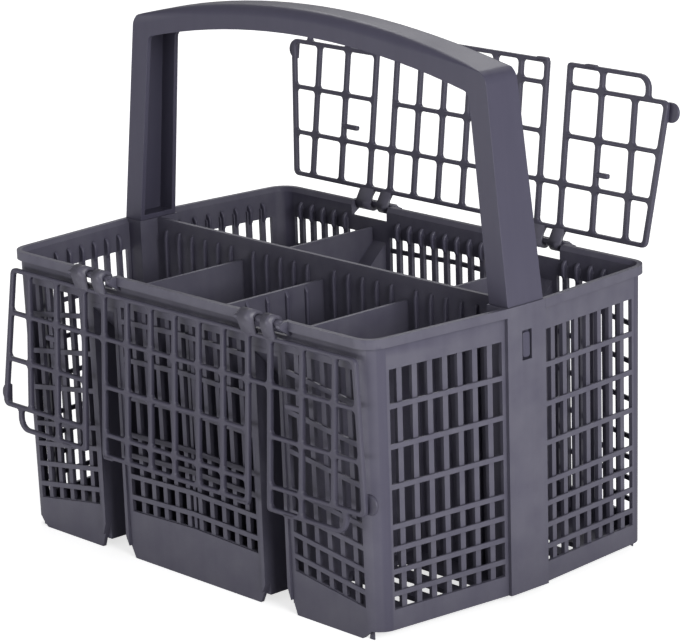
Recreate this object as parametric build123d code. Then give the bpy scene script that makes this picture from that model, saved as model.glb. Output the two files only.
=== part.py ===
from build123d import *
import os
from math import atan2, ceil, cos, radians, sin, sqrt, tan

# Cutlery basket for a dishwasher rack, in millimetres. X runs along the basket, -Y is the front,
# +Z is up, and the origin lies at the middle of the basket on the surface it stands on.

# Rim and outer walls
rim_length = 235.7          # between the rim's corners, on the bead's centre line
rim_width = 163.7           # on the bead's centre line
rim_height = 130.0          # top of the bead
end_bow = 7.7               # each end stands out this far at its middle
bead_radius = 2.0
corner_radius = 9.0
bead_overhang = 0.25        # bead's centre line outside the wall's outer face
wall = 1.8
draft = 0.6                 # degrees, walls lean in towards the bottom
floor_level = 4.0           # underside of the floor, above the lower edge of the skirts
floor_thickness = 2.2

# Lattice: rows of bars in the outer skin, columns of bars behind them
skin = 0.9
rib_depth = 1.0             # columns stand this far into the basket
rib_drop = 7.5              # tops of the columns below the rim
rib_slope = 1.6
rib_foot = 9.5              # lower ends of the ribs
bar_pitch = 7.9
bar_width = 2.65
row_bar = 2.2
window_drop = 14.0          # upper edge of the windows below the rim
first_row = 15.7            # from the windows' upper edge to the first bar's middle
tall_bars = 4
short_bars = 3
short_pitch = 9.65
last_row = 6.75             # from the lowest bar's middle to the windows' lower edge
window_bottom = 12.9        # at the ends
arch_rise = 10.6            # rows of the long sides are this much higher at the middle
arch_radius = 627.0
arch_step = 43.5            # the arches are made of straight lengths up to this long
middle_border = 4.8         # from a recess to the middle bay's windows
outer_border = 4.5          # from a recess to the outer bay's windows
corner_border = 8.85        # from the outer bay's windows to the rim's corner
end_border = 13.0           # from the basket's middle plane to the end windows
end_corner = 10.2           # from the end windows to the rim's corner

# Recesses between the bays of the long sides
recess_middle = 54.25
recess_width = 14.5
recess_depth = 14.0
recess_wall = 2.0
recess_drop = 32.0          # roof of a recess at its back, below the rim
recess_roof_rise = 15.0
middle_chamfer_width = 4.7
middle_chamfer_height = 9.5
outer_chamfer_width = 4.4
outer_chamfer_height = 12.0
skirt_end = 6.5             # the skirts stop this far inside the rim's corners
end_chamfer_width = 5.0
end_chamfer_height = 4.0

# Inside of the basket
centre_wall = 2.0
divider = 1.8
divider_drop = 10.5
face_rib_drop = 4.0
face_rib_width = 1.6
face_rib_depth = 0.9
face_rib_pitch = 9.2
divider_ribs = 6
floor_slot = 8.0
floor_bar = 7.0
floor_margin = 6.0
foot_width = 4.5
foot_height = 2.0

# End pillars and the sockets for the handle
pillar_width = 22.4
pillar_proud = 0.7          # pillar's face outside the end walls' ridge
pillar_depth = 12.2
pillar_wall = 2.2
socket_depth = 30.0
latch_width = 5.6
latch_height = 13.0
latch_drop = 17.5           # middle of the latch window below the rim

# Hinges of the two lids
hinge_middle = 56.0
hinge_out = 3.35            # pin's axis outside the bead's centre line
hinge_drop = 1.1            # pin's axis below the rim's top
pin_radius = 1.5
pin_clearance = 0.3
notch_length = 24.0
notch_depth = 7.0
bracket = 2.5
bracket_wall = 0.9          # round the pin
hook_offset = 6.5           # middles of a hinge's two hooks from its middle
wide_hook = 9.0
narrow_hook = 6.8
hook_wall = 1.6
hook_lip = 1.2              # straight free end of a hook

# Lids
lid_thickness = 2.2
lid_bar = 2.2
lid_gap = 4.1               # from a lid's free edge to the basket's middle plane
lid_hinge_row = 7.0         # from the pin's axis to the first row
lid_first_pitch = 19.9
lid_last_pitch = 9.8
middle_pitch = 16.0
middle_columns = 6
lid_slot = 14.0
outer_columns = 3
lid_near_gap = 3.6          # from the bead's centre line to the lid's ends, at the hinge row
lid_far_gap = 2.65          # and at the last long row
lid_leg_gap = 3.5           # from a pillar to the free corners
lid_corner = 5.0
stop_row = 66.0             # lugs on the ends, from the pin's axis
stop_radius = 3.4
stop_thickness = 1.6
stop_gap = 0.35             # between a lug and the rim
tab_length = 6.0
tab_reach = 1.6
stub_length = 6.5
stub_width = 2.8
front_lid_open = 266.8      # degrees from closed
rear_lid_open = 97.1

# Handle
handle_rise = 110.8         # above the rim
handle_arch = 463.0
leg_setback = 0.6           # a leg's face behind the pillar's face
leg_lean = 11.4             # the legs lean in by this much up to the arch
leg_depth = 11.0
handle_base_width = 20.8
handle_top_width = 17.6
handle_web = 2.4
handle_flange = 2.2
shoulder_radius = 7.0
shoulder_inner = 4.2
plug_length = 27.0
plug_clearance = 0.25
barb = 1.2

half_length = rim_length / 2
half_width = rim_width / 2
bead_level = rim_height - bead_radius
bow_angle = atan2(end_bow, half_width)
floor_top = floor_level + floor_thickness
window_top = rim_height - window_drop
recess_roof = rim_height - recess_drop
recess_inner = recess_middle - recess_width / 2
recess_outer = recess_middle + recess_width / 2
latch_middle = rim_height - latch_drop
pin_y = half_width + hinge_out
pin_z = rim_height - hinge_drop
hook_bore = pin_radius + pin_clearance
hook_radius = hook_bore + hook_wall
handle_top = rim_height + handle_rise
eighth = tan(radians(22.5))  # half a side of an octagon, as a share of its inner radius
beyond = 40.0               # cutters reach this far past what they cut


def prism(plane, points, start, end):
    """Solid from an outline on a plane, between two distances along the plane's normal."""
    outline = make_face(Polyline(*points, close=True))
    return extrude(plane.offset(start) * outline, amount=end - start)


def block(x0, x1, y0, y1, z0, z1):
    return Pos(x0, y0, z0) * Box(x1 - x0, y1 - y0, z1 - z0, align=(Align.MIN, Align.MIN, Align.MIN))


def across(points, x0, x1):
    """Solid from an outline of (y, z) points, between two places along the basket."""
    return prism(Plane.YZ, points, x0, x1)


def front_and_back(shapes):
    return shapes + [mirror(shape, about=Plane.XZ) for shape in shapes]


def both_ends(shapes):
    return shapes + [mirror(shape, about=Plane.YZ) for shape in shapes]


def inset_at(level, inset):
    """How far a wall's face lies inside the bead's centre line at a level."""
    return bead_overhang + inset + (rim_height - level) * tan(radians(draft))


def side_y(level, inset=0.0):
    """Distance of a long wall's outer face from the middle plane, moved inwards."""
    return half_width - inset_at(level, inset)


def ridge_x(level, inset=0.0):
    """Distance of the ridge of an end wall's outer face from the middle, moved inwards."""
    return half_length + end_bow - inset_at(level, inset) / cos(bow_angle)


def pillar_inner():
    """Inner face of the right pillar."""
    return ridge_x(rim_height) + pillar_proud - pillar_depth


def plan(level, inset):
    """Outline of the walls seen from above at a level, moved inwards."""
    y = side_y(level, inset)
    ridge = ridge_x(level, inset)
    x = ridge - y * tan(bow_angle)
    return make_face(Polyline((x, -y), (ridge, 0), (x, y), (-x, y), (-ridge, 0), (-x, -y), close=True))


def walled(inset, bottom, top):
    """Drafted solid with round corners: drawn at its top and tapered downwards."""
    solid = extrude(plan(top, inset), amount=top - bottom, taper=draft)
    upright = [edge for edge in solid.edges() if abs(edge.tangent_at(0.5).Z) > 0.5]
    corners = [edge for edge in upright if abs(edge.center().Y) > half_width / 2]
    solid = fillet(corners, corner_radius - bead_overhang - inset)
    return Pos(0, 0, top) * mirror(solid, about=Plane.XY)


def rim():
    """Bead round the top, from pillar to pillar on each side: round above, sloped back below."""
    start = pillar_width / 2 - bead_overhang
    x = half_length + end_bow - start * tan(bow_angle)
    points = [(x, -start, bead_level), (half_length, -half_width, bead_level),
              (-half_length, -half_width, bead_level), (-x, -start, bead_level)]
    path = FilletPolyline(*points, radius=corner_radius)
    r = bead_radius
    inner = wall - bead_overhang
    low = r * eighth
    edges = [Line((0, r), (-inner, r)), Line((-inner, r), (-inner, -r)), Line((-inner, -r), (low, -r)),
             Line((low, -r), (r, 0)), ThreePointArc((r, 0), (r * sqrt(0.5), r * sqrt(0.5)), (0, r))]
    forward = path % 0
    outward = forward.cross(Vector(0, 0, 1))
    section = Plane(path @ 0, x_dir=outward, z_dir=forward) * make_face(edges)
    return front_and_back([sweep(section, path=path)])


def side_plane():
    """Outer face of the front wall: local x runs along the basket, local y up the wall."""
    angle = radians(draft)
    return Plane((0, -side_y(0), 0), (1, 0, 0), (0, -cos(angle), -sin(angle)))


def end_plane():
    """Outer face of the front half of the right end, from the ridge at its middle."""
    angle = radians(draft)
    outward = (cos(bow_angle) * cos(angle), -sin(bow_angle) * cos(angle), -sin(angle))
    return Plane((ridge_x(0), 0, 0), (sin(bow_angle), cos(bow_angle), 0), outward)


def bar_levels():
    """Middles of the rows' bars from the top: tall windows above, short ones below."""
    short = [window_bottom + last_row + short_pitch * i for i in range(short_bars + 1)]
    top = window_top - first_row
    pitch = (top - short[-1]) / (tall_bars - 1)
    return [top - pitch * i for i in range(tall_bars - 1)] + short[::-1]


def arched(level, x):
    """Height of an arched row of the long sides at a place along the basket."""
    return level + arch_rise + sqrt(arch_radius ** 2 - x ** 2) - arch_radius


def row_edge(left, right, level, curved):
    """Points along one edge of a row: an arch in straight lengths on the long sides."""
    lengths = ceil((right - left) / arch_step) if curved else 1
    places = [left + (right - left) * i / lengths for i in range(lengths + 1)]
    return [(x, arched(level, x) if curved else level) for x in places]


def columns(left, right):
    """Middles of the bars of one opening: as many as fit at their pitch."""
    bars = int((right - left) / bar_pitch)
    middle = (left + right) / 2
    return [middle + bar_pitch * (i - (bars - 1) / 2) for i in range(bars)]


def lattice_cuts(plane, left, right, curved):
    """Rows cut from outside and slots cut from inside, which meet as windows."""
    levels = bar_levels()
    lower = [level + row_bar / 2 for level in levels] + [window_bottom]
    upper = [level - row_bar / 2 for level in levels]
    tops = [row_edge(left, right, window_top, False)]
    tops += [row_edge(left, right, high, curved) for high in upper]
    cuts = []
    for low, top in zip(lower, tops):
        outline = row_edge(left, right, low, curved) + top[::-1]
        cuts.append(prism(plane, outline, -skin, skin))
    middles = columns(left, right)
    sides = [left] + [x + bar_width / 2 for x in middles]
    ends = [x - bar_width / 2 for x in middles] + [right]
    for side, end in zip(sides, ends):
        slot = row_edge(side, end, window_bottom, curved) + [(end, window_top), (side, window_top)]
        cuts.append(prism(plane, slot, -wall - rib_depth, -skin))
    return cuts


def lattice_ribs(plane, left, right):
    """Columns' ribs on the inside of a wall, with sloped tops."""
    inner = wall + rib_depth
    top = rim_height - rib_drop
    side = [(wall / 2, rib_foot), (inner, rib_foot), (inner, top - rib_slope), (wall / 2, top)]
    ribs = []
    for x in columns(left, right):
        foot = plane.from_local_coords((x - bar_width / 2, 0, 0))
        upright = Plane(foot, -plane.z_dir, plane.x_dir)
        ribs.append(prism(upright, side, 0, bar_width))
    return ribs


def bays():
    """Left and right edges of the windows of a long side's bays."""
    half = recess_inner - middle_border
    near = recess_outer + outer_border
    far = half_length - corner_border
    return [(-far, -near), (-half, half), (near, far)]


def lattices():
    """Ribs to add and windows to cut, for all the walls."""
    ribs = []
    cuts = []
    for left, right in bays():
        ribs += front_and_back(lattice_ribs(side_plane(), left, right))
        cuts += front_and_back(lattice_cuts(side_plane(), left, right, True))
    far = half_width / cos(bow_angle) - end_corner
    ribs += both_ends(front_and_back(lattice_ribs(end_plane(), -far, -end_border)))
    cuts += both_ends(front_and_back(lattice_cuts(end_plane(), -far, -end_border, False)))
    return ribs, cuts


def recess_outline(depth, growth):
    """Side view of a recess of the front wall; the growth makes it the outside of its own wall."""
    back = -side_y(recess_roof) + depth
    roof = recess_roof + growth
    out = -side_y(rim_height)
    return [(back, -growth), (back, roof), (out, roof + recess_roof_rise), (out, -growth)]


def recesses():
    """Housings of the recesses, which stand into the basket, and the hollows cut in them."""
    housing = [(y, max(z, floor_level)) for y, z in recess_outline(recess_depth + recess_wall, recess_wall)]
    solids = [across(housing, recess_inner - recess_wall, recess_outer + recess_wall)]
    (back, low), roof, (out, high), last = recess_outline(recess_depth, 0.0)
    hollow = [(back, -beyond), roof, (out, high), (out - beyond, high), (out - beyond, -beyond)]
    cuts = [across(hollow, recess_inner, recess_outer)]
    return both_ends(front_and_back(solids)), both_ends(front_and_back(cuts))


def skirt_corner(x, width, height):
    """Cutter for a sloped lower corner of a front skirt, which leans from x by the width."""
    outline = [(x, height), (x, -wall), (x + width, -wall), (x + width, 0)]
    return prism(Plane.XZ, outline, side_y(0) - wall, half_width + beyond)


def skirt_cuts():
    """What is taken off below the floor: the ends, and the lower corners of the skirts."""
    y = half_width + beyond
    end = half_length - skirt_end
    corners = [skirt_corner(recess_inner, -middle_chamfer_width, middle_chamfer_height),
               skirt_corner(recess_outer, outer_chamfer_width, outer_chamfer_height),
               skirt_corner(end, -end_chamfer_width, end_chamfer_height)]
    below = block(end, half_length + beyond, -y, y, -beyond, floor_level)
    return both_ends(front_and_back(corners) + [below])


def pillar_outline(inset, bottom, top):
    """Side view of the right pillar with its face leaning in, moved inwards."""
    inner = pillar_inner() + inset
    face = [(ridge_x(level) + pillar_proud - inset, level) for level in (bottom, top)]
    return [(inner, bottom)] + face + [(inner, top)]


def plug_size(loose):
    """Inner and outer x and half width of the handle's plug, smaller than its socket all round."""
    outer = ridge_x(rim_height - socket_depth) + pillar_proud - pillar_wall
    inner = pillar_inner() + pillar_wall
    return inner + loose, outer - loose, pillar_width / 2 - pillar_wall - loose


def pillars():
    """Hollow posts at the ends, with sockets for the handle and a window for each latch."""
    half = pillar_width / 2
    solids = [prism(Plane.XZ, pillar_outline(0, floor_level, rim_height), -half, half)]
    low = rim_height - socket_depth - pillar_wall
    half -= pillar_wall
    cuts = [prism(Plane.XZ, pillar_outline(pillar_wall, -beyond, low), -half, half)]
    x0, x1, y = plug_size(0.0)
    cuts.append(block(x0, x1, -y, y, rim_height - socket_depth, rim_height + beyond))
    y = latch_width / 2
    z = latch_height / 2
    cuts.append(block(x1 - wall, x1 + beyond, -y, y, latch_middle - z, latch_middle + z))
    return both_ends(solids), both_ends(cuts)


def face_ribs(left, right):
    """Shallow upright ribs on the front of the centre wall, as many as fit at their pitch."""
    out = -centre_wall / 2 - face_rib_depth
    top = rim_height - face_rib_drop
    side = [(0, rib_foot), (out, rib_foot), (out, top - 2 * face_rib_depth), (0, top)]
    count = int((right - left) / face_rib_pitch)
    places = [(left + right) / 2 + face_rib_pitch * (i - (count - 1) / 2) for i in range(count)]
    return [across(side, x - face_rib_width / 2, x + face_rib_width / 2) for x in places]


def inside_walls():
    """Centre wall with its ribs, which reaches down to the standing surface, and the dividers."""
    inner = pillar_inner()
    low = floor_level + floor_thickness / 2
    top = rim_height - divider_drop
    half = centre_wall / 2
    reach = inner + pillar_wall / 2
    solids = [block(-reach, reach, -half, half, low, rim_height),
              block(-inner, inner, -half, half, 0, floor_top)]
    for left, right in ((0, recess_middle), (recess_middle, inner)):
        solids += both_ends(face_ribs(left, right))
    back = side_y(recess_roof) - recess_depth - recess_wall / 2
    thin = divider / 2
    for x in (-recess_middle, recess_middle):
        solids.append(block(x - thin, x + thin, -back, back, low, top))
    front = side_y(floor_top) - wall / 2
    solids.append(block(-thin, thin, -front, 0, low, top))
    for i in range(divider_ribs):
        y = -front * (i + 1) / (divider_ribs + 1)
        solids.append(block(0, thin + face_rib_depth, y - face_rib_width / 2, y + face_rib_width / 2,
                            rib_foot, top - 4 * face_rib_depth))
    return solids


def floor_slots():
    """Drain slots of the floor, in each compartment."""
    ends = ridge_x(floor_top) - end_bow - wall
    front = [-ends, -recess_middle, 0, recess_middle, ends]
    rear = [-ends, -recess_middle, recess_middle, ends]
    depth = side_y(floor_top) - wall - recess_depth - recess_wall
    pitch = floor_slot + floor_bar
    count = int((depth - 2 * floor_margin + floor_bar) / pitch)
    first = (depth - count * pitch + floor_bar) / 2 + centre_wall / 2
    cuts = []
    for edges, direction in ((front, -1), (rear, 1)):
        for left, right in zip(edges[:-1], edges[1:]):
            for i in range(count):
                near = direction * (first + i * pitch)
                far = near + direction * floor_slot
                cuts.append(block(left + floor_margin, right - floor_margin, min(near, far), max(near, far),
                                  0, floor_top + floor_thickness))
    return cuts


def feet():
    """Small feet under the floor."""
    half = foot_width / 2
    places = [(recess_middle, side_y(floor_level) - recess_depth - 2 * foot_width),
              (half_length - 2 * foot_width, half_width - 3 * foot_width)]
    low = floor_level - foot_height
    pads = [block(x - half, x + half, -y - half, -y + half, low, floor_top) for x, y in places]
    return both_ends(front_and_back(pads))


def hinges():
    """Pins outside the rim with their brackets, and the notches of the rim."""
    inner = -side_y(rim_height) + wall / 2
    nose = pin_radius + bracket_wall
    side = nose * eighth
    arm = [(inner, rim_height), (-pin_y, rim_height), (-pin_y - nose, pin_z), (-pin_y - nose, pin_z - side),
           (-pin_y - side, pin_z - nose), (inner, rim_height - notch_depth)]
    half = notch_length / 2
    solids = []
    cuts = []
    for x in (-hinge_middle, hinge_middle):
        pin = Cylinder(pin_radius, notch_length + bracket)
        solids.append(Pos(x, -pin_y, pin_z) * Rot(0, 90, 0) * pin)
        for start in (x - half - bracket, x + half):
            solids.append(across(arm, start, start + bracket))
        cuts.append(block(x - half, x + half, -half_width - beyond, inner + wall + rib_depth,
                          rim_height - notch_depth, rim_height + beyond))
    return front_and_back(solids), front_and_back(cuts)


def basket_body():
    ribs, windows = lattices()
    housings, hollows = recesses()
    posts, sockets = pillars()
    pins, notches = hinges()
    shell = walled(0.0, 0.0, bead_level)
    shell -= walled(wall, floor_top, rim_height)
    shell -= walled(wall, -wall, floor_level)
    shell = shell.fuse(*(ribs + housings))
    shell = shell.cut(*windows)
    shell = shell.fuse(*(rim() + posts + inside_walls() + feet()))
    shell = shell.cut(*(hollows + sockets + notches + skirt_cuts() + floor_slots()))
    return shell.fuse(*pins)


def handle_outer(inset):
    """Front view of the handle's outer edge and all that it spans, moved inwards."""
    foot = ridge_x(rim_height) + pillar_proud - leg_setback
    centre = handle_top - handle_arch
    shoulder = foot - leg_lean
    slope = -leg_lean / (centre + sqrt(handle_arch ** 2 - shoulder ** 2) - rim_height)
    foot -= inset * sqrt(1 + slope ** 2)
    radius = handle_arch - inset
    # Where the leg's line meets the arch
    middle = foot + slope * (centre - rim_height)
    root = sqrt((1 + slope ** 2) * radius ** 2 - middle ** 2)
    high = (root - middle * slope) / (1 + slope ** 2)
    top_x = middle + slope * high
    level = centre + high
    edges = [Line((-foot, rim_height), (foot, rim_height)), Line((foot, rim_height), (top_x, level)),
             ThreePointArc((top_x, level), (0, centre + radius), (-top_x, level)),
             Line((-top_x, level), (-foot, rim_height))]
    face = make_face(edges)
    corners = [corner for corner in face.vertices() if corner.Y > rim_height + leg_depth]
    return fillet(corners, shoulder_radius + (shoulder_inner - shoulder_radius) * inset / leg_depth)


def handle_core(inset):
    """Solid between the legs and under the arch, as deep as the basket is wide."""
    return extrude(Plane.XZ.offset(-half_width) * handle_outer(inset), amount=rim_width)


def handle_band(inset):
    """End view of the handle carried along the basket: it narrows upwards."""
    low = handle_base_width / 2 - inset
    high = handle_top_width / 2 - inset
    outline = [(-low, rim_height), (low, rim_height), (high, handle_top), (-high, handle_top)]
    return across(outline, -half_length - beyond, half_length + beyond)


def carry_handle():
    """Arched channel with its open side inwards, and plugs that latch into the pillars."""
    far = half_length + beyond
    solid = (handle_core(0) - handle_core(leg_depth)) & handle_band(0)
    channel = handle_core(handle_web) & handle_band(handle_flange)
    channel -= block(-far, far, -half_width, half_width, 0, rim_height + handle_web)
    solid -= channel
    x0, x1, y = plug_size(plug_clearance)
    plug = block(x0, x1, -y, y, rim_height - plug_length, rim_height + handle_web / 2)
    half = latch_width / 2 - plug_clearance
    reach = latch_height / 2 - 2 * plug_clearance
    low = latch_middle - reach
    high = latch_middle + reach
    wedge = [(x1 - barb, low), (x1, low), (x1 + barb, high), (x1 - barb, high)]
    tongue = prism(Plane.XZ, wedge, -half, half)
    return solid.fuse(*both_ends([plug, tongue]))


def lid_rows():
    """Distances of the lid's rows from the pin's axis."""
    free = pin_y - lid_gap - lid_bar / 2
    first = lid_hinge_row + lid_first_pitch
    last = free - lid_last_pitch
    return [lid_hinge_row, first, (first + last) / 2, last, free]


def lid_end(row):
    """Half length of the lid at a distance from the pin's axis."""
    last = lid_rows()[-2]
    near = half_length + end_bow * (lid_hinge_row - hinge_out) / half_width - lid_near_gap
    far = half_length + end_bow * (last - hinge_out) / half_width - lid_far_gap
    return near + (far - near) * (row - lid_hinge_row) / (last - lid_hinge_row)


def lid_columns():
    """Middles of the lid's upright bars: the middle group, then the right outer group."""
    half = middle_columns * middle_pitch / 2
    start = half + lid_slot
    pitch = (lid_end(lid_rows()[-2]) - start) / outer_columns
    middle = [-half + middle_pitch * i for i in range(middle_columns + 1)]
    return middle, [start + pitch * i for i in range(outer_columns)]


def lid_outline():
    """Outline of a lid: tapered ends, notched free corners and two open slots."""
    bar = lid_bar / 2
    rows = lid_rows()
    near = rows[0] - bar
    slot_end = rows[1] + bar
    step = rows[-2] + bar
    far = rows[-1] + bar
    middle, outer = lid_columns()
    inner_side = middle[-1] + bar
    outer_side = outer[0] - bar
    corner = pillar_inner() - lid_leg_gap
    right = [(lid_end(near), near), (lid_end(step), step), (corner, step), (corner, far),
             (outer_side, far), (outer_side, slot_end), (inner_side, slot_end), (inner_side, far)]
    left = [(-x, y) for x, y in right[::-1]]
    face = make_face(Polyline(*(right + left), close=True))
    return fillet([vertex for vertex in face.vertices() if vertex.Y < rows[0]], lid_corner)


def cell(left, right, low, high, slant=0.0):
    """Opening between bars; the slant moves its upper right corner."""
    return make_face(Polyline((left, low), (right, low), (right + slant, high), (left, high), close=True))


def lid_cells():
    """Openings between the bars of a lid."""
    bar = lid_bar / 2
    rows = lid_rows()
    middle, outer = lid_columns()
    corner = pillar_inner() - lid_leg_gap
    cells = []
    sides = [cell(middle[-1] + bar, outer[0] - bar, rows[0] + bar, rows[1] - bar)]
    for row, next_row in zip(rows[:-1], rows[1:]):
        low = row + bar
        high = next_row - bar
        cells += [cell(left + bar, right - bar, low, high) for left, right in zip(middle[:-1], middle[1:])]
        if next_row == rows[-1]:
            ends = outer[1:-1] + [corner - bar]
            sides += [cell(left + bar, right - bar, low, high) for left, right in zip(outer[:-1], ends)]
        else:
            sides += [cell(left + bar, right - bar, low, high) for left, right in zip(outer[:-1], outer[1:])]
            end = lid_end(low) - lid_bar
            sides.append(cell(outer[-1] + bar, end, low, high, lid_end(high) - lid_bar - end))
    return cells + both_ends(sides)


def hook(middle, width):
    """Open hook round the pin, seen from the end and carried along the pin, with an arm to the lid."""
    half = lid_thickness / 2
    outer = hook_radius
    bore = hook_bore
    side = outer * eighth
    flat = bore * eighth
    outline = [(hook_lip, outer), (-side, outer), (-outer, side), (-outer, -side), (-side, -outer),
               (outer / 2, -outer), (lid_hinge_row, -half), (lid_hinge_row, half), (outer, -half),
               (flat, -bore), (-flat, -bore), (-bore, -flat), (-bore, flat), (-flat, bore), (hook_lip, bore)]
    return across(outline, middle - width / 2, middle + width / 2)


def stop_lug():
    """Lug with cut corners that rests on the rim of the right end, and its root on the lid."""
    edge = lid_end(stop_row)
    side = stop_radius * eighth
    root = edge - lid_bar
    level = hinge_drop + stop_gap
    outline = [(root, stop_row - stop_radius), (edge + side, stop_row - stop_radius),
               (edge + stop_radius, stop_row - side), (edge + stop_radius, stop_row + side),
               (edge + side, stop_row + stop_radius), (root, stop_row + stop_radius)]
    lug = prism(Plane.XY, outline, level, level + stop_thickness)
    return [lug, block(root, edge - lid_bar / 4, stop_row - stop_radius, stop_row + stop_radius, 0, level)]


def lid():
    """Closed lid with its pin's axis at the origin and +Y towards the middle of the basket."""
    half = lid_thickness / 2
    grid = lid_outline() - lid_cells()
    solid = extrude(Plane.XY.offset(-half) * grid, amount=lid_thickness)
    hooks = []
    for x in (-hinge_middle, hinge_middle):
        hooks += [hook(x - hook_offset, wide_hook), hook(x + hook_offset, narrow_hook)]
    rows = lid_rows()
    middle, outer = lid_columns()
    free = rows[-1] + lid_bar / 2
    root = free - lid_bar / 2
    level = (rows[1] + rows[2]) / 2
    extras = [block(middle[-1] - tab_length, middle[-1], root, free + tab_reach, -half, half),
              block(outer[0], outer[0] + tab_length, root, free + tab_reach, -half, half),
              block(outer[1], outer[1] + lid_bar / 2 + stub_length, level - stub_width / 2,
                    level + stub_width / 2, -half, half)]
    return solid.fuse(*(hooks + both_ends(stop_lug() + extras)))


def front_lid():
    return Pos(0, -pin_y, pin_z) * Rot(front_lid_open, 0, 0) * lid()


def rear_lid():
    return Pos(0, pin_y, pin_z) * Rot(-rear_lid_open, 0, 0) * mirror(lid(), about=Plane.XZ)


pieces = (basket_body, carry_handle, front_lid, rear_lid)

if __name__ == "__main__":
    os.makedirs("parts", exist_ok=True)
    for piece in pieces:
        export_step(piece(), "parts/" + piece.__name__ + ".step")
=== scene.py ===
import math

import bmesh
import bpy
from mathutils import Matrix, Quaternion, Vector


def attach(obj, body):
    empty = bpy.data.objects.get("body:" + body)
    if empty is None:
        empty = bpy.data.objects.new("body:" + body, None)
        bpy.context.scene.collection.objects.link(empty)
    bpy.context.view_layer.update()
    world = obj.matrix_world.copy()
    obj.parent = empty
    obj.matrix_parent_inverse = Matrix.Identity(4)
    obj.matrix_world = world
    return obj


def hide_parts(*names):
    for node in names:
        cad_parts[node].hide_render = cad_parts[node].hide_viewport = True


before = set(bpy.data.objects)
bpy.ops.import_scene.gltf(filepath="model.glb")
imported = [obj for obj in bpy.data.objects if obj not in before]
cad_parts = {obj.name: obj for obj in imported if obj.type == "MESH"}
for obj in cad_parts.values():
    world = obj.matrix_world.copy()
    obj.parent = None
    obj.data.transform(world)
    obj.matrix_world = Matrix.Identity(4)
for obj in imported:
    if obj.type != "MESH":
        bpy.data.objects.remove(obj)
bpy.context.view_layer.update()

mm = 0.001


# small helpers for objects and nodes

def addObject(name, data):
    obj = bpy.data.objects.new(name, data)
    bpy.context.collection.objects.link(obj)
    return obj


def aimAt(obj, place, aim, roll=0.0):
    direction = Vector(aim) - Vector(place)
    turn = Quaternion((0, 0, 1), math.radians(roll))
    obj.location = place
    obj.rotation_mode = "QUATERNION"
    obj.rotation_quaternion = direction.to_track_quat("-Z", "Y") @ turn


def inputs(node, values):
    for name, value in values.items():
        node.inputs[name].default_value = value


def linkOrSet(tree, value, socket):
    if isinstance(value, bpy.types.NodeSocket):
        tree.links.new(value, socket)
    else:
        socket.default_value = value


def mathNode(tree, kind, first, second):
    node = tree.nodes.new("ShaderNodeMath")
    node.operation = kind
    linkOrSet(tree, first, node.inputs[0])
    linkOrSet(tree, second, node.inputs[1])
    return node.outputs[0]


def rampNode(tree, value, start, end, low=0.0, high=1.0):
    node = tree.nodes.new("ShaderNodeMapRange")
    tree.links.new(value, node.inputs["Value"])
    for name, setting in (("From Min", start), ("From Max", end), ("To Min", low), ("To Max", high)):
        linkOrSet(tree, setting, node.inputs[name])
    return node.outputs["Result"]


# camera: long lens, a little above the rim, at the front right corner
camera = {
    "aim": (7.6 * mm, 2.0 * mm, 100.8 * mm),
    "place": (1064.3 * mm, -944.4 * mm, 490.5 * mm),
    "roll": -2.125,  # degrees
    "lens": 176.0, "sensor": 36.0, "clipEnd": 20.0,
}


def addCamera():
    data = bpy.data.cameras.new("studioCamera")
    data.lens = camera["lens"]
    data.sensor_fit = "HORIZONTAL"
    data.sensor_width = camera["sensor"]
    data.clip_end = camera["clipEnd"]
    obj = addObject("studioCamera", data)
    aimAt(obj, camera["place"], camera["aim"], camera["roll"])
    bpy.context.scene.camera = obj
    print("camera placed")


# white floor that keeps the shadow: a share of its white is seen by the camera only
floor = {
    "size": 8.0,
    "colour": (0.9, 0.9, 0.9, 1.0),
    "roughness": 0.9, "specular": 0.1,
    "ownWhite": 0.72,
}


def addFloor():
    half = floor["size"] / 2
    mesh = bpy.data.meshes.new("studioFloor")
    corners = [(-half, -half, 0), (half, -half, 0), (half, half, 0), (-half, half, 0)]
    mesh.from_pydata(corners, [], [(0, 1, 2, 3)])
    obj = addObject("studioFloor", mesh)
    material = bpy.data.materials.new("studioFloor")
    material.use_nodes = True
    tree = material.node_tree
    shader = tree.nodes["Principled BSDF"]
    inputs(shader, {"Base Color": floor["colour"], "Roughness": floor["roughness"],
                    "Specular IOR Level": floor["specular"], "Emission Color": (1, 1, 1, 1)})
    path = tree.nodes.new("ShaderNodeLightPath")
    seen = mathNode(tree, "MULTIPLY", path.outputs["Is Camera Ray"], floor["ownWhite"])
    tree.links.new(seen, shader.inputs["Emission Strength"])
    mesh.materials.append(material)


# lamps: at the right for the end wall, high at the back left for the inside, weak in front
lamps = {
    "rightLamp": {"place": (1.45, -0.3, 0.62), "size": (0.7, 0.6), "power": 13.6},
    "frontLamp": {"place": (-0.15, -0.85, 0.09), "size": (0.9, 0.16), "power": 1.9},
    "backLamp": {"place": (-0.8, 0.9, 1.25), "size": (0.9, 0.9), "power": 8.0},
}
lampAim = (0, 0, 0.11)  # near the middle of the basket
sky = {"strength": 0.20}


def addLamp(name, values):
    data = bpy.data.lights.new(name, "AREA")
    data.shape = "RECTANGLE"
    data.size, data.size_y = values["size"]
    data.energy = values["power"]
    aimAt(addObject(name, data), values["place"], lampAim)


def addSky():
    world = bpy.data.worlds.new("studioWorld")
    bpy.context.scene.world = world
    world.use_nodes = True
    tree = world.node_tree
    background = tree.nodes["Background"]
    background.inputs["Color"].default_value = (1, 1, 1, 1)
    path = tree.nodes.new("ShaderNodeLightPath")
    # full white for the camera, the lighting level for the rest
    level = rampNode(tree, path.outputs["Is Camera Ray"], 0.0, 1.0, sky["strength"], 1.0)
    tree.links.new(level, background.inputs["Strength"])


def addStudio():
    addFloor()
    for name, values in lamps.items():
        addLamp(name, values)
    addSky()
    bpy.context.scene.view_settings.view_transform = "Standard"
    print("studio lit")


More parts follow.
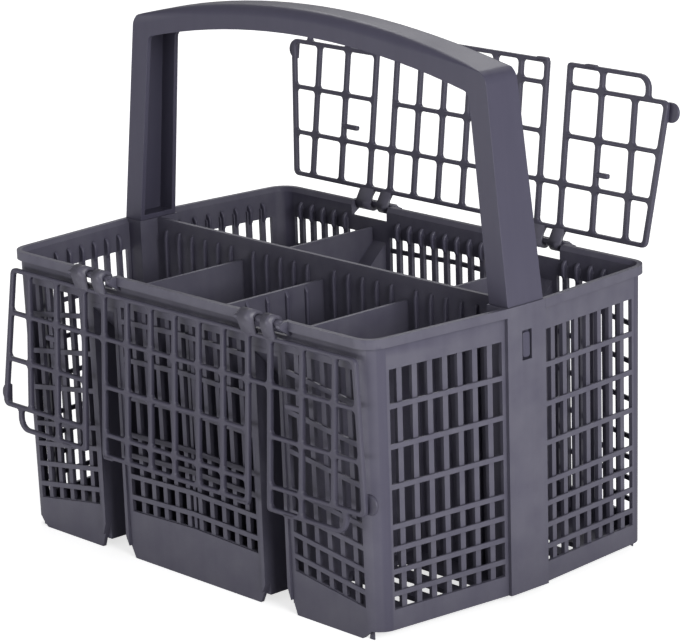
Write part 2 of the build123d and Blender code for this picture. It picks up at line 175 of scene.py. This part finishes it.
# shared effects as node groups, with scales per metre
mouldGrain = {"scale": 2600.0, "detail": 3.0, "ripple": 0.3, "rippleScale": 55.0, "rippleDetail": 2.0,
              "depth": 0.2 * mm}
flowStreaks = {"along": 260.0, "up": 9.0, "detail": 3.0, "range": (0.36, 0.64),
               "patchScale": 28.0, "patchDetail": 4.0, "patchRange": (0.3, 0.7)}
# edges painted lighter from pointiness: partly wear, partly a painted highlight
edgeWearAndHighlight = {"start": 0.53, "end": 0.62, "breakScale": 90.0, "breakDetail": 4.0}
# painted shade in hollows, from ambient occlusion
paintedHollowShade = {"reach": 0.07, "samples": 6, "open": 0.82, "deep": 0.3}


def newGroup(name, given, made):
    group = bpy.data.node_groups.new(name, "ShaderNodeTree")
    for label, value in given.items():
        socket = group.interface.new_socket(label, in_out="INPUT", socket_type="NodeSocketFloat")
        socket.default_value = value
    for label in made:
        group.interface.new_socket(label, in_out="OUTPUT", socket_type="NodeSocketFloat")
    return group, group.nodes.new("NodeGroupInput"), group.nodes.new("NodeGroupOutput")


def objectPlace(group):
    return group.nodes.new("ShaderNodeTexCoord").outputs["Object"]


def noiseNode(group, vector, scale, detail):
    node = group.nodes.new("ShaderNodeTexNoise")
    node.inputs["Detail"].default_value = detail
    linkOrSet(group, scale, node.inputs["Scale"])
    group.links.new(vector, node.inputs["Vector"])
    return node.outputs["Fac"]


def grainGroup():
    # fine spark-eroded grain of the mould, with a slow ripple under it
    given = {"Scale": mouldGrain["scale"], "Ripple": mouldGrain["ripple"]}
    group, given, made = newGroup("mouldGrain", given, ("Height",))
    place = objectPlace(group)
    fine = noiseNode(group, place, given.outputs["Scale"], mouldGrain["detail"])
    slow = noiseNode(group, place, mouldGrain["rippleScale"], mouldGrain["rippleDetail"])
    lifted = mathNode(group, "MULTIPLY", slow, given.outputs["Ripple"])
    group.links.new(mathNode(group, "ADD", fine, lifted), made.inputs["Height"])
    return group


def streakGroup():
    # faint upright flow lines and dull patches left by water
    given = {"Along": flowStreaks["along"], "Up": flowStreaks["up"]}
    group, given, made = newGroup("flowStreaks", given, ("Mask", "Patch"))
    place = objectPlace(group)
    stretch = group.nodes.new("ShaderNodeCombineXYZ")
    for axis, label in (("X", "Along"), ("Y", "Along"), ("Z", "Up")):
        group.links.new(given.outputs[label], stretch.inputs[axis])
    scaled = group.nodes.new("ShaderNodeVectorMath")
    scaled.operation = "MULTIPLY"
    group.links.new(place, scaled.inputs[0])
    group.links.new(stretch.outputs[0], scaled.inputs[1])
    lines = noiseNode(group, scaled.outputs[0], 1.0, flowStreaks["detail"])
    group.links.new(rampNode(group, lines, *flowStreaks["range"]), made.inputs["Mask"])
    patch = noiseNode(group, place, flowStreaks["patchScale"], flowStreaks["patchDetail"])
    group.links.new(patch, made.inputs["Patch"])
    return group


def wearAndHighlightGroup():
    # edges lighter, in broken lengths: partly rubbed wear, partly a painted highlight
    given = {"Start": edgeWearAndHighlight["start"], "End": edgeWearAndHighlight["end"]}
    group, given, made = newGroup("edgeWearAndHighlight", given, ("Mask",))
    pointed = group.nodes.new("ShaderNodeNewGeometry").outputs["Pointiness"]
    rubbedAndLit = rampNode(group, pointed, given.outputs["Start"], given.outputs["End"])
    broken = noiseNode(group, objectPlace(group), edgeWearAndHighlight["breakScale"], edgeWearAndHighlight["breakDetail"])
    group.links.new(mathNode(group, "MULTIPLY", rubbedAndLit, broken), made.inputs["Mask"])
    return group


def paintedShadeGroup():
    # painted shade: deep places, where ambient occlusion makes the plastic darker
    group, given, made = newGroup("paintedHollowShade", {"Reach": paintedHollowShade["reach"]}, ("Mask",))
    around = group.nodes.new("ShaderNodeAmbientOcclusion")
    around.samples = paintedHollowShade["samples"]
    group.links.new(given.outputs["Reach"], around.inputs["Distance"])
    deep = rampNode(group, around.outputs["AO"], paintedHollowShade["open"], paintedHollowShade["deep"])
    group.links.new(deep, made.inputs["Mask"])
    return group


effects = {"grain": grainGroup(), "streaks": streakGroup(), "wearAndHighlight": wearAndHighlightGroup(), "hollowShade": paintedShadeGroup()}

# plastic of each moulding: nearly the same colour, with its own grain, edges lighter from wear and a painted
# highlight, and painted shade in the hollows
bodyPlastic = {
    "colour": (0.094, 0.088, 0.136, 1.0), "streakColour": (0.112, 0.106, 0.158, 1.0),
    "wearAndHighlightColour": (0.165, 0.160, 0.205, 1.0), "hollowShadeColour": (0.034, 0.032, 0.050, 1.0),
    "roughness": (0.36, 0.52), "bump": 0.10, "streaks": 0.75, "wearAndHighlight": 1.10, "hollowShadeShare": 0.55,
}
handlePlastic = {
    "colour": (0.090, 0.085, 0.132, 1.0), "streakColour": (0.104, 0.098, 0.149, 1.0),
    "wearAndHighlightColour": (0.160, 0.155, 0.200, 1.0), "hollowShadeColour": (0.040, 0.038, 0.058, 1.0),
    "roughness": (0.38, 0.50), "bump": 0.14, "streaks": 0.30, "wearAndHighlight": 0.90, "hollowShadeShare": 0.5,
}
lidPlastic = {
    "colour": (0.084, 0.079, 0.118, 1.0), "streakColour": (0.098, 0.092, 0.135, 1.0),
    "wearAndHighlightColour": (0.180, 0.174, 0.220, 1.0), "hollowShadeColour": (0.040, 0.038, 0.058, 1.0),
    "roughness": (0.32, 0.46), "bump": 0.08, "streaks": 0.35, "wearAndHighlight": 1.20, "hollowShadeShare": 0.6,
}


def mixColour(tree, share, low, high):
    node = tree.nodes.new("ShaderNodeMix")
    node.data_type = "RGBA"
    tree.links.new(share, node.inputs["Factor"])
    linkOrSet(tree, low, node.inputs[6])  # the two colour sockets
    linkOrSet(tree, high, node.inputs[7])
    return node.outputs[2]


def groupNode(tree, name):
    node = tree.nodes.new("ShaderNodeGroup")
    node.node_tree = effects[name]
    return node


def makePlastic(name, values):
    material = bpy.data.materials.new(name)
    material.use_nodes = True
    tree = material.node_tree
    shader = tree.nodes["Principled BSDF"]
    grain, streaks, wearAndHighlight, hollowShade = (groupNode(tree, effect) for effect in effects)
    lines = mathNode(tree, "MULTIPLY", streaks.outputs["Mask"], values["streaks"])
    wornAndHighlit = mathNode(tree, "MULTIPLY", wearAndHighlight.outputs["Mask"], values["wearAndHighlight"])
    hollowShadeShare = mathNode(tree, "MULTIPLY", hollowShade.outputs["Mask"], values["hollowShadeShare"])
    colour = mixColour(tree, lines, values["colour"], values["streakColour"])
    # edges lighter: partly wear, partly a painted highlight
    colour = mixColour(tree, wornAndHighlit, colour, values["wearAndHighlightColour"])
    # painted shade in the hollows
    colour = mixColour(tree, hollowShadeShare, colour, values["hollowShadeColour"])
    tree.links.new(colour, shader.inputs["Base Color"])
    dull = rampNode(tree, streaks.outputs["Patch"], *flowStreaks["patchRange"], *values["roughness"])
    tree.links.new(dull, shader.inputs["Roughness"])
    bump = tree.nodes.new("ShaderNodeBump")
    inputs(bump, {"Strength": values["bump"], "Distance": mouldGrain["depth"]})
    tree.links.new(grain.outputs["Height"], bump.inputs["Height"])
    tree.links.new(bump.outputs["Normal"], shader.inputs["Normal"])
    return material


# moulded edges: welded, flat faces joined, then rounded
edges = {
    "basket_body": {"width": 0.35 * mm, "segments": 2, "plastic": ("bodyPlastic", bodyPlastic)},
    "carry_handle": {"width": 0.9 * mm, "segments": 4, "plastic": ("handlePlastic", handlePlastic)},
}
edgeLimits = {"weld": 0.01 * mm, "flatAngle": 0.02, "sharpAngle": 0.6}  # angles in radians

# crowned arch of the handle: its long upper edges, on the outer arc, get a wide rounding
crown = {
    "radius": 463.0 * mm, "top": 240.8 * mm, "width": 5.0 * mm, "segments": 7,
    "fadeEnd": 114.0 * mm, "fade": 50.0 * mm, "leastWeight": 0.1,
    "arcSlack": 0.15 * mm, "sideSlack": 1.0 * mm,  # how far an edge may lie off the arc, or run across it
}


def smoothTree():
    tree = bpy.data.node_groups.new("smoothShade", "GeometryNodeTree")
    tree.interface.new_socket("Geometry", in_out="INPUT", socket_type="NodeSocketGeometry")
    tree.interface.new_socket("Geometry", in_out="OUTPUT", socket_type="NodeSocketGeometry")
    given, made = tree.nodes.new("NodeGroupInput"), tree.nodes.new("NodeGroupOutput")
    smooth = tree.nodes.new("GeometryNodeSetShadeSmooth")
    tree.links.new(given.outputs[0], smooth.inputs["Geometry"])
    tree.links.new(smooth.outputs[0], made.inputs[0])
    return tree


def addBevel(obj, name, width, segments):
    bevel = obj.modifiers.new(name, "BEVEL")
    bevel.width = width
    bevel.segments = segments
    return bevel


def addShading(obj, smooth=None):
    if smooth:
        obj.modifiers.new("smooth", "NODES").node_group = smooth
    obj.modifiers.new("flatFaces", "WEIGHTED_NORMAL").keep_sharp = True


def markCrown(obj):
    mesh = obj.data
    level = crown["top"] - crown["radius"]  # of the arc's centre
    onArc = []
    for vertex in mesh.vertices:
        reach = math.hypot(vertex.co.x, vertex.co.z - level)
        onArc.append(abs(reach - crown["radius"]) < crown["arcSlack"])
    weight = mesh.attributes.new("bevel_weight_edge", "FLOAT", "EDGE")
    count = 0
    for edge in mesh.edges:
        first, last = (mesh.vertices[i].co for i in edge.vertices)
        oneSide = first.y * last.y > 0 and abs(first.y - last.y) < crown["sideSlack"]
        if oneSide and all(onArc[i] for i in edge.vertices):
            along = max(abs(first.x), abs(last.x))  # fades out towards the shoulders
            share = (crown["fadeEnd"] - along) / crown["fade"]
            weight.data[edge.index].value = min(1.0, max(crown["leastWeight"], share))
            count += 1
    print("crown edges", count)


def roundEdges(obj, values, smooth):
    obj.modifiers.new("weld", "WELD").merge_threshold = edgeLimits["weld"]
    flat = obj.modifiers.new("joinFlat", "DECIMATE")
    flat.decimate_type = "DISSOLVE"
    flat.angle_limit = edgeLimits["flatAngle"]
    if obj.name.startswith("carry_handle"):
        markCrown(obj)
        wide = addBevel(obj, "crown", crown["width"], crown["segments"])
        wide.limit_method = "WEIGHT"
        wide.use_clamp_overlap = False
    bevel = addBevel(obj, "roundEdges", values["width"], values["segments"])
    bevel.limit_method = "ANGLE"
    bevel.angle_limit = edgeLimits["sharpAngle"]
    addShading(obj, smooth)


# grid lids with rounded bars, in millimetres from the pin's axis, +Y to the basket's middle when closed
grid = {
    "rows": (7.0, 26.9, 48.55, 70.2, 80.0),
    "columns": (-48.0, -32.0, -16.0, 0.0, 16.0, 32.0, 48.0),
    "outer": (62.0, 81.83, 101.66),
    "ends": (114.59, 121.49),  # half lengths at the first and fourth rows
    "freeCorner": 110.3,
    "upright": 1.28, "row": 1.0,  # half widths of the bars
    "thickness": 2.2, "round": 0.62, "roundSteps": 2,
    "cellRound": 1.9, "freeCellRound": 4.5,
    "cornerRound": 3.2, "stepRound": 1.5, "freeRound": 6.5, "tipRound": 1.9,
}
hooks = {
    "pin": (85.2, 128.9),  # out from the basket's middle, and up
    "places": (-56.0, 56.0), "offset": 6.5, "wide": 9.0, "narrow": 6.8,
    "bore": 1.8, "radius": 3.4, "lip": 1.2, "steps": 12,
}
lidTabs = {
    "spans": ((41.6, 48.6), (71.2, 78.0)), "reach": 1.5, "overlap": 0.5,
    "rounds": (0.5, 0.9), "edge": 0.4,
}
lidLugs = {
    "row": 66.0, "radius": 4.4, "levels": (1.45, 2.95), "start": 1.6,
    "rounds": (0.4, 4.35), "steps": 10, "edge": 0.45,
    "foot": (2.0, 0.6), "footTop": 2.65, "footRound": 0.3, "footEdge": 0.25,
}
lidStubs = {"row": 33.8, "lengths": (8.5, 6.2), "half": 1.15, "round": 0.9, "edge": 0.5}
lids = {
    "front_lid": {"openAngle": 266.8, "stubSide": -1},
    "rear_lid": {"openAngle": 97.1, "stubSide": 1},
}


def roundLoop(corners, steps=6):
    # corners are (x, y, radius): each is swapped for an arc
    loop = []
    count = len(corners)
    for i, (x, y, radius) in enumerate(corners):
        here = Vector((x, y))
        back = (Vector(corners[i - 1][:2]) - here).normalized()
        ahead = (Vector(corners[(i + 1) % count][:2]) - here).normalized()
        half = back.angle(ahead) / 2
        middle = here + (back + ahead).normalized() * (radius / math.sin(half))
        first = here + back * (radius / math.tan(half)) - middle
        last = here + ahead * (radius / math.tan(half)) - middle
        turn = first.angle_signed(last)
        for step in range(steps + 1):
            angle = -turn * step / steps
            loop.append(middle + Vector((first.x * math.cos(angle) - first.y * math.sin(angle),
                                         first.x * math.sin(angle) + first.y * math.cos(angle))))
    return loop


def boxCorners(left, right, low, high, lowRound, highRound):
    return [(left, low, lowRound), (right, low, lowRound), (right, high, highRound), (left, high, highRound)]


def mirrored(corners):
    return [(-x, y, radius) for x, y, radius in corners[::-1]]


def plate(mould, loops, low, high, bevel):
    # flat piece with rounded edges, filled between its loops and added to the mould
    curve = bpy.data.curves.new("plate", "CURVE")
    curve.dimensions = "2D"
    curve.fill_mode = "BOTH"
    curve.extrude = (high - low) / 2 - bevel
    curve.bevel_depth = bevel
    curve.bevel_resolution = grid["roundSteps"]
    curve.offset = -bevel
    for loop in loops:
        spline = curve.splines.new("POLY")
        spline.points.add(len(loop) - 1)
        for point, corner in zip(spline.points, loop):
            point.co = (corner.x, corner.y, 0, 1)
        spline.use_cyclic_u = True
    obj = addObject("plate", curve)
    bpy.context.view_layer.update()
    mesh = bpy.data.meshes.new_from_object(obj.evaluated_get(bpy.context.evaluated_depsgraph_get()))
    mesh.transform(Matrix.Translation((0, 0, (low + high) / 2)))
    mould.from_mesh(mesh)
    bpy.data.objects.remove(obj)
    bpy.data.meshes.remove(mesh)


def addPrism(mould, sides):
    # sides are the points of the two end faces
    first, last = ([mould.verts.new(point) for point in side] for side in sides)
    count = len(first)
    for i in range(count):
        mould.faces.new((first[i], first[(i + 1) % count], last[(i + 1) % count], last[i]))
    mould.faces.new(last)
    mould.faces.new(first[::-1])


def gridEnd(row):
    first, fourth = grid["rows"][0], grid["rows"][3]
    near, far = grid["ends"]
    return near + (far - near) * (row - first) / (fourth - first)


def gridOutline():
    rows, tip, corner = grid["rows"], grid["tipRound"], grid["freeCorner"]
    near, slotEnd = rows[0] - grid["row"], rows[1] + grid["row"]
    step, far = rows[3] + grid["row"], rows[4] + grid["row"]
    inner, outer = grid["columns"][-1] + grid["upright"], grid["outer"][0] - grid["upright"]
    right = [(gridEnd(near), near, grid["cornerRound"]), (gridEnd(step), step, grid["cornerRound"]),
             (corner, step, grid["stepRound"]), (corner, far, grid["freeRound"]), (outer, far, tip),
             (outer, slotEnd, tip), (inner, slotEnd, tip), (inner, far, tip)]
    return right + mirrored(right)


def gridCells():
    rows, outer, upright, small = grid["rows"], grid["outer"], grid["upright"], grid["cellRound"]
    middle, sides = [], []
    for row, upper in zip(rows[:-1], rows[1:]):
        low, high = row + grid["row"], upper - grid["row"]
        for left, right in zip(grid["columns"][:-1], grid["columns"][1:]):
            middle.append(boxCorners(left + upright, right - upright, low, high, small, small))
        spans = [(outer[0], outer[1], small), (outer[1], outer[2], small)]
        if upper == rows[-1]:  # the last row ends at the lid's rounded free corner
            spans[1] = (outer[1], grid["freeCorner"] - upright, grid["freeCellRound"])
        for left, right, last in spans:
            cell = boxCorners(left + upright, right - upright, low, high, small, small)
            cell[2] = (right - upright, high, last)
            sides.append(cell)
        if upper != rows[-1]:
            left = outer[2] + upright
            sides.append([(left, low, small), (gridEnd(low) - 2 * upright, low, small),
                          (gridEnd(high) - 2 * upright, high, small), (left, high, small)])
    low, high = rows[0] + grid["row"], rows[1] - grid["row"]
    sides.append(boxCorners(grid["columns"][-1] + upright, outer[0] - upright, low, high, small, small))
    return middle + sides + [mirrored(side) for side in sides]


def addHook(mould, middle, width):
    # open hook round the pin with an arm to the first row
    outer, bore, lip, row = hooks["radius"], hooks["bore"], hooks["lip"], grid["rows"][0]
    half = grid["thickness"] / 2
    turn = [math.radians(90 + 180 * i / hooks["steps"]) for i in range(hooks["steps"] + 1)]
    outline = [(lip, outer)] + [(outer * math.cos(a), outer * math.sin(a)) for a in turn]
    outline += [(outer / 2, -outer), (row, -half), (row, half), (outer, -half)]
    outline += [(bore * math.cos(a), bore * math.sin(a)) for a in turn[::-1]] + [(lip, bore)]
    addPrism(mould, [[(middle + side * width / 2, y, z) for y, z in outline] for side in (-1, 1)])


def addTabs(mould, side):
    half, free = grid["thickness"] / 2, grid["rows"][4]
    for start, end in lidTabs["spans"]:
        left, right = sorted((side * start, side * end))
        tab = boxCorners(left, right, free - lidTabs["overlap"], free + lidTabs["reach"], *lidTabs["rounds"])
        plate(mould, [roundLoop(tab)], -half, half, lidTabs["edge"])


def addLug(mould, side):
    # round stop at the lid's end, on a foot that stands on the grid
    row, radius, edge = lidLugs["row"], lidLugs["radius"], gridEnd(lidLugs["row"])
    low, high = row - radius, row + radius
    near, far = lidLugs["rounds"]
    start, end = lidLugs["foot"]
    lug = [(edge - lidLugs["start"], low, near), (edge + radius, low, far),
           (edge + radius, high, far), (edge - lidLugs["start"], high, near)]
    foot = boxCorners(edge - start, edge - end, low, high, lidLugs["footRound"], lidLugs["footRound"])
    if side < 0:
        lug, foot = mirrored(lug), mirrored(foot)
    plate(mould, [roundLoop(lug, lidLugs["steps"])], *lidLugs["levels"], lidLugs["edge"])
    plate(mould, [roundLoop(foot)], 0, lidLugs["footTop"], lidLugs["footEdge"])


def addStub(mould, side, stubSide):
    half, row, wide = grid["thickness"] / 2, lidStubs["row"], lidStubs["half"]
    column = side * grid["outer"][1]
    length = lidStubs["lengths"][0 if side * stubSide < 0 else 1]
    left, right = sorted((column, column + stubSide * (grid["upright"] + length)))
    stub = boxCorners(left, right, row - wide, row + wide, lidStubs["round"], lidStubs["round"])
    plate(mould, [roundLoop(stub)], -half, half, lidStubs["edge"])


def makeLid(name, values):
    mould = bmesh.new()
    half = grid["thickness"] / 2
    plate(mould, [roundLoop(loop) for loop in [gridOutline()] + gridCells()], -half, half, grid["round"])
    for x in hooks["places"]:
        addHook(mould, x - hooks["offset"], hooks["wide"])
        addHook(mould, x + hooks["offset"], hooks["narrow"])
    for side in (-1, 1):
        addTabs(mould, side)
        addLug(mould, side)
        addStub(mould, side, values["stubSide"])
    mesh = bpy.data.meshes.new(name + "Grid")
    bmesh.ops.recalc_face_normals(mould, faces=mould.faces)
    mould.to_mesh(mesh)
    mould.free()
    out, up = hooks["pin"]
    angle = math.radians(values["openAngle"])
    if name == "front_lid":
        turned = Matrix.Translation((0, -out, up)) @ Matrix.Rotation(angle, 4, "X")
    else:  # the same moulding, mirrored to the other long side
        swung = Matrix.Translation((0, out, up)) @ Matrix.Rotation(-angle, 4, "X")
        turned = swung @ Matrix.Scale(-1, 4, (0, 1, 0))
    mesh.transform(Matrix.Scale(mm, 4) @ turned)
    if name == "rear_lid":
        mesh.flip_normals()
    mesh.shade_smooth()
    obj = addObject(name + "Grid", mesh)
    addShading(obj)
    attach(obj, name)
    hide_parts(name)
    print("lid built", name, len(mesh.polygons))
    return obj


def spaced(start, pitch, count):
    return [start + pitch * i for i in range(count)]


# fins above the windows, ribs of the middle divider and the centre wall, and the dividers' ends over the
# recesses, in millimetres: an outline is (depth, level), and starts inside the wall that carries it
latticePitch = 7.9
fins = {
    "round": 0.6, "roundSteps": 3, "roundAngle": 0.5,
    "windowOutline": ((-0.3, 114.6), (1.25, 114.6), (2.5, 117.0), (2.5, 121.2), (1.875, 122.8), (0.75, 123.9),
                      (-0.3, 124.2)),
    "windowWidth": 1.9,
    "sideFace": 79.65, "sideColumns": spaced(3.95, latticePitch, 5) + spaced(71.7, latticePitch, 5),
    "endFace": 123.34, "endColumns": spaced(18.81, latticePitch, 7), "bow": 0.0938,
    "dividerOutline": ((-0.3, 9.5), (1.6, 9.5), (1.6, 116.4), (-0.3, 119.2)),
    "dividerWidth": 1.9, "dividerFace": 0.9, "dividerRows": spaced(-11.4717, -11.4717, 6),
    "wallOutline": ((-0.3, 9.6), (1.8, 9.6), (1.8, 121.5), (1.08, 124.6), (-0.3, 125.4)),
    "wallWidth": 1.7, "wallFace": 1.0, "wallColumns": spaced(8.73, 9.1975, 5) + spaced(61.02, 9.2, 6),
    "crossOutline": ((63.0, 96.0), (79.6, 112.0), (79.6, 119.5), (63.0, 119.5)),
    "crossWidth": 1.7, "crossPlace": 54.25,
}
tongue = {"face": 125.55, "depth": 2.0, "half": (2.1, 5.5), "middle": 112.5, "round": 1.3, "edge": 0.45}


def addFin(mould, outline, width, place):
    # place turns depth, width and level into the basket's frame
    addPrism(mould, [[place(depth, side * width / 2, level) for depth, level in outline] for side in (-1, 1)])


def addPiece(mould, name, plastic, smooth, width):
    bmesh.ops.recalc_face_normals(mould, faces=mould.faces)
    mesh = bpy.data.meshes.new(name)
    mould.to_mesh(mesh)
    mould.free()
    mesh.transform(Matrix.Scale(mm, 4))
    mesh.materials.append(plastic)
    obj = addObject(name, mesh)
    if width:
        addBevel(obj, "roundEdges", width * mm, fins["roundSteps"]).angle_limit = fins["roundAngle"]
    addShading(obj, smooth)
    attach(obj, "basket")
    print("added", name, len(mesh.polygons))


def addFins(plastic, smooth):
    mould = bmesh.new()
    outline, width = fins["windowOutline"], fins["windowWidth"]
    for side in (-1, 1):
        for column in fins["sideColumns"]:
            for x in (-column, column):
                addFin(mould, outline, width, lambda d, w, z: (x + w, side * (fins["sideFace"] - d), z))
        for column in fins["endColumns"]:
            face = fins["endFace"] - column * math.tan(fins["bow"])
            for y in (-column, column):
                addFin(mould, outline, width, lambda d, w, z: (side * (face - d), y + w, z))
    outline, width = fins["dividerOutline"], fins["dividerWidth"]
    for y in fins["dividerRows"]:
        addFin(mould, outline, width, lambda d, w, z: (fins["dividerFace"] + d, y + w, z))
    outline, width = fins["wallOutline"], fins["wallWidth"]
    for column in fins["wallColumns"]:
        for x in (-column, column):
            addFin(mould, outline, width, lambda d, w, z: (x + w, -fins["wallFace"] - d, z))
    outline, width = fins["crossOutline"], fins["crossWidth"]
    for side in (-1, 1):
        for x in (-fins["crossPlace"], fins["crossPlace"]):
            addFin(mould, outline, width, lambda d, w, z: (x + w, side * d, z))
    addPiece(mould, "insideFins", plastic, smooth, fins["round"])


def addTongues(plastic, smooth):
    mould = bmesh.new()
    wide, high = tongue["half"]
    face = roundLoop(boxCorners(-wide, wide, -high, high, tongue["round"], tongue["round"]))
    plate(mould, [face], tongue["face"] - tongue["depth"], tongue["face"], tongue["edge"])
    for vertex in mould.verts:  # flat in plan until here, then stood up at the right end
        vertex.co = (vertex.co.z, vertex.co.x, vertex.co.y + tongue["middle"])
    copied = bmesh.ops.duplicate(mould, geom=mould.faces[:])["geom"]
    for item in copied:
        if isinstance(item, bmesh.types.BMVert):
            item.co.x *= -1
    addPiece(mould, "latchTongues", plastic, smooth, 0)


def dressNodes():
    smooth = smoothTree()
    made = {"lidPlastic": makePlastic("lidPlastic", lidPlastic)}
    for name, values in lids.items():
        makeLid(name, values).data.materials.append(made["lidPlastic"])
    for name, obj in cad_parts.items():
        if name not in edges:
            continue
        values = edges[name]
        label, plastic = values["plastic"]
        made[label] = makePlastic(label, plastic)
        obj.data.materials.clear()
        obj.data.materials.append(made[label])
        roundEdges(obj, values, smooth)
        print("dressed", name)
    addFins(made["bodyPlastic"], smooth)
    addTongues(made["handlePlastic"], smooth)


addCamera()
addStudio()
dressNodes()
